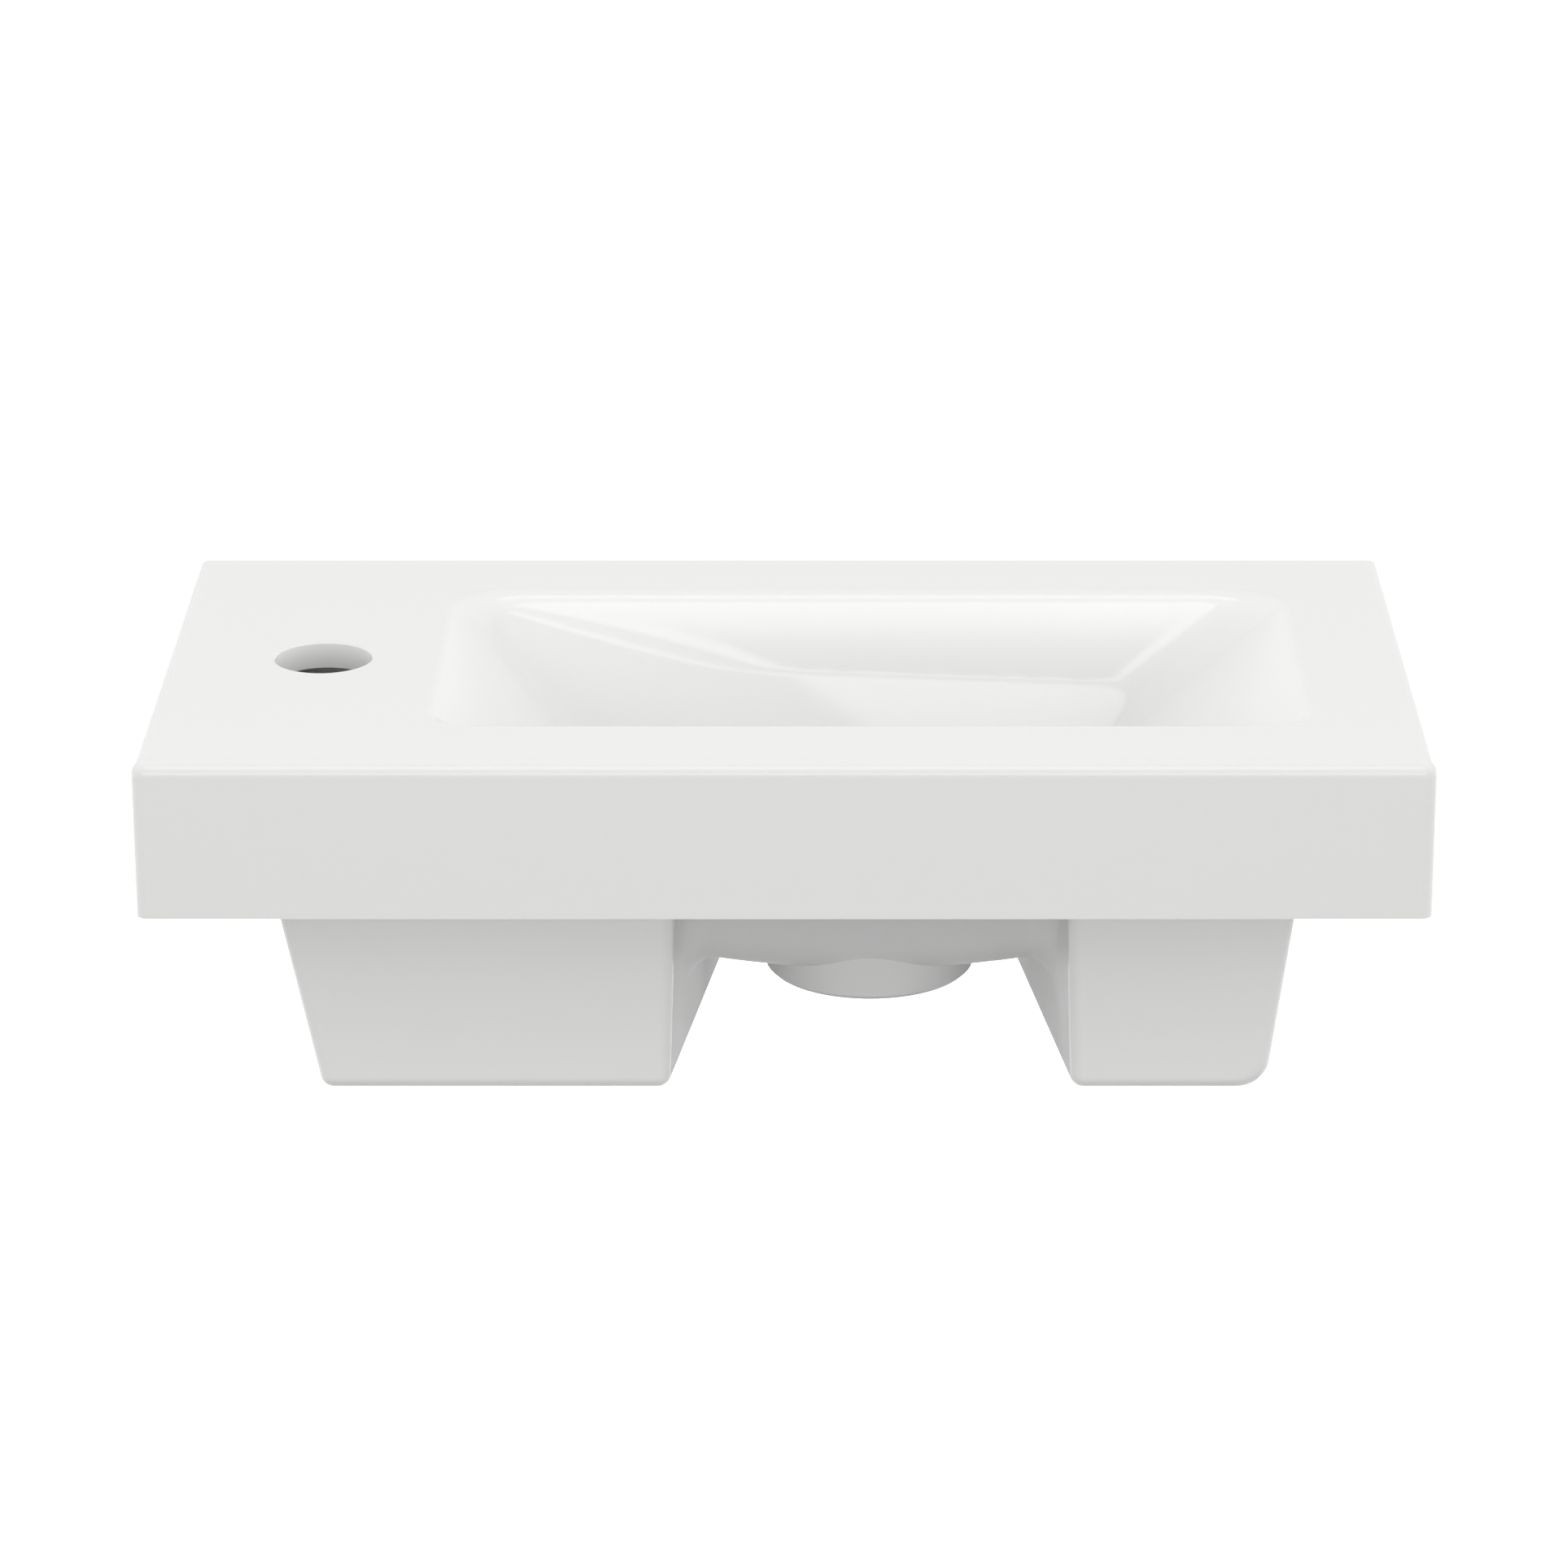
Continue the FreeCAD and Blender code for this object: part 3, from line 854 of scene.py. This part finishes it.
    def stitched(self, points: list[Point], ring: list[int], inner: list[int]) -> list[tuple[int, ...]]:
        """Joins two loops with different numbers of points, in step round the drain.

        Args:
            points: Points of the mesh.
            ring: Outer loop.
            inner: Inner loop, the same way round.

        Returns:
            Triangles between the loops.
        """

        def turn(v: int) -> float:
            """Angle of a point round the drain."""
            return math.atan2(points[v][1] - self.drain[1], points[v][0] - self.drain[0])

        sign = 1.0 if math.sin(turn(ring[1]) - turn(ring[0])) > 0 else -1.0
        if math.copysign(1.0, math.sin(turn(inner[1]) - turn(inner[0]))) != sign:
            inner = inner[::-1]
        start = turn(ring[0])

        def past(v: int) -> float:
            """Angle of a point past the first one of the outer loop."""
            return (sign * (turn(v) - start)) % (2.0 * math.pi)

        first = min(range(len(inner)), key=lambda k: past(inner[k]))
        inner = inner[first:] + inner[:first]
        outer_turns = [0.0] + [past(v) for v in ring[1:]] + [2.0 * math.pi]
        inner_turns = [past(v) for v in inner] + [2.0 * math.pi + past(inner[0])]
        i = j = 0
        faces: list[tuple[int, ...]] = []
        while i < len(ring) or j < len(inner):
            a, b = ring[i % len(ring)], inner[j % len(inner)]
            step_outer = j >= len(inner) or (i < len(ring) and outer_turns[i + 1] <= inner_turns[j + 1])
            if step_outer:
                faces.append((a, ring[(i + 1) % len(ring)], b))
                i += 1
            else:
                faces.append((a, inner[(j + 1) % len(inner)], b))
                j += 1
        return faces


def turned_faces(size: int, turns: int) -> list[tuple[int, ...]]:
    """Joins the copies of a closed outline that is turned round an axis.

    Args:
        size: Number of points in the outline.
        turns: Number of its copies.

    Returns:
        Four-sided faces all the way round.
    """
    faces = []
    for k in range(turns):
        here, there = k * size, ((k + 1) % turns) * size
        for i in range(size):
            j = (i + 1) % size
            faces.append((here + i, here + j, there + j, there + i))
    return faces


def lathe(profile: list[tuple[float, float]], turns: int) -> tuple[list[Point], list[tuple[int, ...]]]:
    """Turns a closed outline round the Y axis.

    Args:
        profile: Radius and place along Y of each corner, in order.
        turns: Number of steps round the axis.

    Returns:
        Points and faces of the ring.
    """
    points = []
    for k in range(turns):
        angle = 2.0 * math.pi * k / turns
        points.extend((r * math.cos(angle), y, r * math.sin(angle)) for r, y in profile)
    return points, turned_faces(len(profile), turns)


def turned_ring(
    inner: float, outer: float, start: float, end: float, bevel: float
) -> list[tuple[float, float]]:
    """Outline of a ring with its four edges broken.

    Args:
        inner: Bore radius.
        outer: Outer radius.
        start: Place of its first face along Y.
        end: Place of its second face along Y.
        bevel: Size of the broken edges.

    Returns:
        Radius and place along Y of each corner.
    """
    return [
        (inner + bevel, start),
        (outer - bevel, start),
        (outer, start + bevel),
        (outer, end - bevel),
        (outer - bevel, end),
        (inner + bevel, end),
        (inner, end - bevel),
        (inner, start + bevel),
    ]


@dataclass
class WallFixing:
    """Hanger bolt, wall plug, sleeve, washer and nut on one side of the basin."""

    side: Side
    spacing: float = 0.28
    axis_z: float = -0.0635
    rear_wall: float = 0.014
    sleeve_radius: float = 0.0087
    sleeve_shortfall: float = 0.001
    flange_radius: float = 0.014
    flange_thickness: float = 0.003
    bore: float = 0.0043
    washer_radius: float = 0.012
    washer_thickness: float = 0.002
    nut_across_flats: float = 0.013
    nut_height: float = 0.0065
    nut_bore: float = 0.00405
    bolt_radius: float = 0.004
    bolt_proud: float = 0.0065
    shank_radius: float = 0.0036
    machine_thread_end: float = -0.006
    machine_pitch: float = 0.00125
    machine_depth: float = 0.0006
    wood_thread_start: float = 0.008
    wood_pitch: float = 0.0034
    wood_depth: float = 0.0011
    point_start: float = 0.06
    point_end: float = 0.068
    point_radius: float = 0.001
    bolt_end_bevel: float = 0.0008
    bolt_turns: int = 40
    ring_turns: int = 96
    plug_radius: float = 0.006
    plug_length: float = 0.06
    plug_neck: float = 0.009
    plug_slot: float = 0.0016
    tooth_pitch: float = 0.0035
    tooth_depth: float = 0.0007
    tooth_rise_share: float = 0.82
    neck_bevel: float = 0.0003
    washer_bevel: float = 0.0002

    def build(self) -> None:
        """Builds the five pieces in the order in which they go on the wall."""
        flange_y = -self.rear_wall - self.flange_thickness
        washer_y = flange_y - self.washer_thickness
        nut_y = washer_y - self.nut_height
        self.place("wall_plug", *self.plug(), NYLON, "grey_nylon")
        self.place("hanger_bolt", *self.bolt(nut_y - self.bolt_proud), ZINC, "zinc_plated_steel")
        self.place("fixing_sleeve", *self.sleeve(flange_y), WHITE_PLASTIC, "white_plastic")
        washer = turned_ring(self.bore, self.washer_radius, washer_y, flange_y, self.washer_bevel)
        self.place("fixing_washer", *lathe(washer, self.ring_turns), ZINC, "zinc_plated_steel")
        self.place("fixing_nut", *self.nut(nut_y, washer_y), ZINC, "zinc_plated_steel")

    def place(
        self, piece: str, points: list[Point], faces: list[tuple[int, ...]], finish: Finish, slot: str
    ) -> None:
        """Puts one piece on the fixing's axis, in place of its CAD node.

        Args:
            piece: What it is.
            points: Its points, round the Y axis.
            faces: Its faces.
            finish: Its finish.
            slot: The record's material slot; not used.
        """
        x = self.side.value * self.spacing / 2.0
        moved = [(px + x, py, pz + self.axis_z) for px, py, pz in points]
        item = mesh_object(f"dressed_{self.side.node(piece)}", moved, faces, [finish])
        item.data.polygons.foreach_set("use_smooth", [True] * len(faces))
        item.data.set_sharp_from_angle(angle=math.radians(28.0))
        stand_in(item, self.side.node(piece))

    def sleeve(self, flange_y: float) -> tuple[list[Point], list[tuple[int, ...]]]:
        """Makes the collar, with a spigot through the rear wall and a flange inside the leg.

        Args:
            flange_y: Place of the flange's outer face along Y.

        Returns:
            Its points and faces.
        """
        bevel = 0.0003
        end = -self.sleeve_shortfall
        outline = [
            (self.bore + bevel, flange_y),
            (self.flange_radius - bevel, flange_y),
            (self.flange_radius, flange_y + bevel),
            (self.flange_radius, -self.rear_wall),
            (self.sleeve_radius, -self.rear_wall),
            (self.sleeve_radius, end - bevel),
            (self.sleeve_radius - bevel, end),
            (self.bore, end),
            (self.bore, flange_y + bevel),
        ]
        return lathe(outline, self.ring_turns)

    def nut(self, start: float, end: float) -> tuple[list[Point], list[tuple[int, ...]]]:
        """Makes the hexagon nut, with its corners turned off on both faces and its bore countersunk.

        Args:
            start: Place of its outer face along Y.
            end: Place of its seat along Y.

        Returns:
            Its points and faces.
        """
        turns = 144
        flat = self.nut_across_flats / 2.0
        land_share = 0.94
        land = land_share * flat
        slope = math.tan(math.radians(30.0))
        sink = 0.0004
        points: list[Point] = []
        for k in range(turns):
            angle = 2.0 * math.pi * k / turns
            from_flat = (angle % (math.pi / 3.0)) - math.pi / 6.0
            side = flat / math.cos(from_flat)
            cut = (side - land) * slope
            for r, y in (
                (self.nut_bore, start + sink),
                (self.nut_bore + sink, start),
                (land, start),
                (side, start + cut),
                (side, end - cut),
                (land, end),
                (self.nut_bore + sink, end),
                (self.nut_bore, end - sink),
            ):
                points.append((r * math.cos(angle), y, r * math.sin(angle)))
        return points, turned_faces(len(points) // turns, turns)

    def bolt_radius_at(self, y: float, angle: float, start: float) -> float:
        """Radius of the bolt at a place and an angle.

        Args:
            y: Place along the axis.
            angle: Angle round it.
            start: Place of the bolt's flat end.

        Returns:
            Radius in metres.
        """
        turn = angle / (2.0 * math.pi)
        crest_flat, flank_gain = 0.125, 1.25
        if y < self.machine_thread_end:
            wave = abs(((y / self.machine_pitch + turn) % 1.0) * 2.0 - 1.0)
            sunk = min(1.0, max(0.0, flank_gain * wave - crest_flat))
            radius = self.bolt_radius - self.machine_depth * sunk
            return min(radius, self.bolt_radius - self.bolt_end_bevel + max(0.0, y - start))
        if y < self.wood_thread_start:
            return self.shank_radius
        from_crest = abs(((y / self.wood_pitch + turn) % 1.0) * 2.0 - 1.0)
        crest_steepness = 2.2
        radius = self.bolt_radius - self.wood_depth * min(1.0, crest_steepness * from_crest)
        if y > self.point_start:
            left = (self.point_end - y) / (self.point_end - self.point_start)
            tip = self.point_radius + (self.bolt_radius - self.point_radius) * left
            return min(radius, tip)
        return radius

    def bolt(self, start: float) -> tuple[list[Point], list[tuple[int, ...]]]:
        """Makes the hanger bolt: a machine thread, a plain shank and a wood screw's thread and point.

        Args:
            start: Place of its flat end along Y.

        Returns:
            Its points and faces.
        """
        turns = self.bolt_turns
        machine_steps, wood_steps, gap = 7.0, 12.0, 0.0002
        stations = list(np.arange(start, self.machine_thread_end, self.machine_pitch / machine_steps))
        stations += [self.machine_thread_end, self.wood_thread_start - gap]
        stations += list(np.arange(self.wood_thread_start, self.point_end, self.wood_pitch / wood_steps))
        stations.append(self.point_end)
        points: list[Point] = []
        for y in stations:
            for k in range(turns):
                angle = 2.0 * math.pi * k / turns
                r = self.bolt_radius_at(y, angle, start)
                points.append((r * math.cos(angle), y, r * math.sin(angle)))
        faces: list[tuple[int, ...]] = [tuple(range(turns))]
        for s in range(len(stations) - 1):
            for k in range(turns):
                j = (k + 1) % turns
                a, b = s * turns, (s + 1) * turns
                faces.append((a + k, b + k, b + j, a + j))
        last = (len(stations) - 1) * turns
        faces.append(tuple(reversed(range(last, last + turns))))
        return points, faces

    def plug(self) -> tuple[list[Point], list[tuple[int, ...]]]:
        """Makes the wall plug: a plain neck, then two toothed halves with the expansion slot between.

        Returns:
            Its points and faces.
        """
        neck = turned_ring(self.nut_bore, self.plug_radius, 0.0, self.plug_neck, self.neck_bevel)
        points, faces = lathe(neck, self.ring_turns)
        stations = [self.plug_neck]
        while stations[-1] < self.plug_length - self.tooth_pitch:
            base = stations[-1]
            stations += [base + self.tooth_rise_share * self.tooth_pitch, base + self.tooth_pitch]
        stations.append(self.plug_length)
        arc = 32
        for half in (0.0, math.pi):
            first = len(points)
            for s, y in enumerate(stations):
                toothed = s % 2 == 1 and s < len(stations) - 1
                outer = self.plug_radius if toothed else self.plug_radius - self.tooth_depth
                for r in (outer, self.nut_bore):
                    gap = math.asin(self.plug_slot / 2.0 / r)
                    sweep = [gap + (math.pi - 2.0 * gap) * k / arc for k in range(arc + 1)]
                    if r is not outer:
                        sweep.reverse()
                    points.extend((r * math.cos(a + half), y, r * math.sin(a + half)) for a in sweep)
            size = 2 * (arc + 1)
            for s in range(len(stations) - 1):
                a, b = first + s * size, first + (s + 1) * size
                for k in range(size):
                    j = (k + 1) % size
                    faces.append((a + k, b + k, b + j, a + j))
            for s, flip in ((0, False), (len(stations) - 1, True)):
                for k in range(arc):
                    a = first + s * size
                    cap = (a + k, a + k + 1, a + size - 2 - k, a + size - 1 - k)
                    faces.append(cap[::-1] if flip else cap)
        return points, faces


@dataclass(frozen=True)
class Softbox:
    """One rectangular light that faces the basin."""

    name: str
    place: Point
    width: float
    height: float
    power: float
    aimed_at: Point = (0.0, -0.1, 0.0)

    def hang(self) -> None:
        """Adds the light to the scene."""
        data = bpy.data.lights.new(self.name, "AREA")
        data.shape = "RECTANGLE"
        data.size = self.width
        data.size_y = self.height
        data.energy = self.power
        light = bpy.data.objects.new(self.name, data)
        light.location = self.place
        aim = Vector(self.aimed_at) - Vector(self.place)
        light.rotation_euler = aim.to_track_quat("-Z", "Y").to_euler()
        bpy.context.scene.collection.objects.link(light)


SOFTBOXES = (
    Softbox("front", (0.0, -2.9, 0.6), 2.4, 1.0, 16.5),
    Softbox("upper", (0.0, -2.3, 1.75), 1.6, 0.9, 1.8),
    Softbox("key", (0.0, -1.35, 2.05), 1.1, 0.7, 4.8),
)


@dataclass
class Studio:
    """Camera, lights, floor and backdrop."""

    camera_place: Point = (0.01605, -2.10332, 0.70201)
    camera_pitch: float = 19.968
    camera_lens: float = 133.13
    camera_shift: float = -0.02976
    sensor_width: float = 36.0
    floor_drop: float = 0.7
    floor_size: float = 60.0
    floor_bounce: float = 0.22
    left_glow: float = 1.7
    right_glow: float = 1.72
    back_glow: float = 0.36

    def build(self) -> None:
        """Sets up everything that isn't the basin."""
        self.place_camera()
        self.build_world()
        self.build_floor()
        for softbox in SOFTBOXES:
            softbox.hang()
        bpy.context.scene.view_settings.view_transform = "Standard"

    def place_camera(self) -> None:
        """Puts the camera where the photograph was taken from."""
        data = bpy.data.cameras.new("camera")
        data.lens = self.camera_lens
        data.shift_x = self.camera_shift
        data.sensor_width = self.sensor_width
        data.clip_start = 0.01
        data.clip_end = 100.0
        camera = bpy.data.objects.new("camera", data)
        camera.location = self.camera_place
        camera.rotation_euler = (math.radians(90.0 - self.camera_pitch), 0.0, 0.0)
        bpy.context.scene.collection.objects.link(camera)
        bpy.context.scene.camera = camera

    def build_world(self) -> None:
        """Lights the room from its pale side walls, and shows it white wherever it is seen."""
        world = bpy.data.worlds.new("studio")
        world.use_nodes = True
        tree = world.node_tree
        nodes, links = tree.nodes, tree.links
        nodes.clear()
        out = nodes.new("ShaderNodeOutputWorld")
        coords = nodes.new("ShaderNodeTexCoord")
        total = None
        for direction, strength in (
            ((-1.0, 0.0, 0.0), self.left_glow),
            ((1.0, 0.0, 0.0), self.right_glow),
            ((0.0, 1.0, 0.0), self.back_glow),
        ):
            towards = nodes.new("ShaderNodeVectorMath")
            towards.operation = "DOT_PRODUCT"
            links.new(coords.outputs["Generated"], towards.inputs[0])
            towards.inputs[1].default_value = direction
            lit = nodes.new("ShaderNodeMath")
            lit.operation = "MAXIMUM"
            links.new(towards.outputs["Value"], lit.inputs[0])
            lit.inputs[1].default_value = 0.0
            added = nodes.new("ShaderNodeMath")
            added.operation = "MULTIPLY_ADD"
            links.new(lit.outputs[0], added.inputs[0])
            added.inputs[1].default_value = strength
            added.inputs[2].default_value = 0.0
            if total is not None:
                links.new(total, added.inputs[2])
            total = added.outputs[0]
        around = nodes.new("ShaderNodeBackground")
        links.new(total, around.inputs["Strength"])
        seen = nodes.new("ShaderNodeBackground")
        seen.inputs["Strength"].default_value = 1.0
        for shader in (around, seen):
            shader.inputs["Color"].default_value = (1.0, 1.0, 1.0, 1.0)
        mix = nodes.new("ShaderNodeMixShader")
        links.new(self.seen_directly(tree), mix.inputs[0])
        links.new(around.outputs[0], mix.inputs[1])
        links.new(seen.outputs[0], mix.inputs[2])
        links.new(mix.outputs[0], out.inputs["Surface"])
        bpy.context.scene.world = world

    @staticmethod
    def seen_directly(tree: bpy.types.NodeTree) -> bpy.types.NodeSocket:
        """Adds a test for rays that show a surface itself and don't light another.

        Args:
            tree: Node tree that gets the test.

        Returns:
            Socket that is 1 for camera, glossy and transmission rays.
        """
        path = tree.nodes.new("ShaderNodeLightPath")
        socket = path.outputs["Is Camera Ray"]
        for name in ("Is Glossy Ray", "Is Transmission Ray"):
            larger = tree.nodes.new("ShaderNodeMath")
            larger.operation = "MAXIMUM"
            tree.links.new(socket, larger.inputs[0])
            tree.links.new(path.outputs[name], larger.inputs[1])
            socket = larger.outputs[0]
        return socket

    def build_floor(self) -> None:
        """Lays a plain pale floor below the hanging basin."""
        bpy.ops.mesh.primitive_plane_add(size=self.floor_size, location=(0.0, 0.0, -self.floor_drop))
        floor = bpy.context.object
        floor.name = "floor"
        material = bpy.data.materials.new("floor")
        material.use_nodes = True
        tree = material.node_tree
        shader = tree.nodes["Principled BSDF"]
        shader.inputs["Roughness"].default_value = 1.0
        shader.inputs["Specular IOR Level"].default_value = 0.0
        mix = tree.nodes.new("ShaderNodeMix")
        mix.data_type = "RGBA"
        tree.links.new(self.seen_directly(tree), mix.inputs[0])
        bounce = self.floor_bounce
        mix.inputs[6].default_value = (bounce, bounce, bounce, 1.0)
        mix.inputs[7].default_value = (1.0, 1.0, 1.0, 1.0)
        tree.links.new(mix.outputs[2], shader.inputs["Base Color"])
        shader.inputs["Emission Color"].default_value = (1.0, 1.0, 1.0, 1.0)
        tree.links.new(self.seen_directly(tree), shader.inputs["Emission Strength"])
        floor.data.materials.append(material)


def main() -> None:
    """Builds the basin and its room in order."""
    logging.basicConfig(level=logging.INFO)
    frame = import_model()
    BasinBody(BowlForm()).build(frame["nodes"]["basin_body"])
    for side in Side:
        WallFixing(side).build()
    Studio().build()


if __name__ == "__main__":
    main()
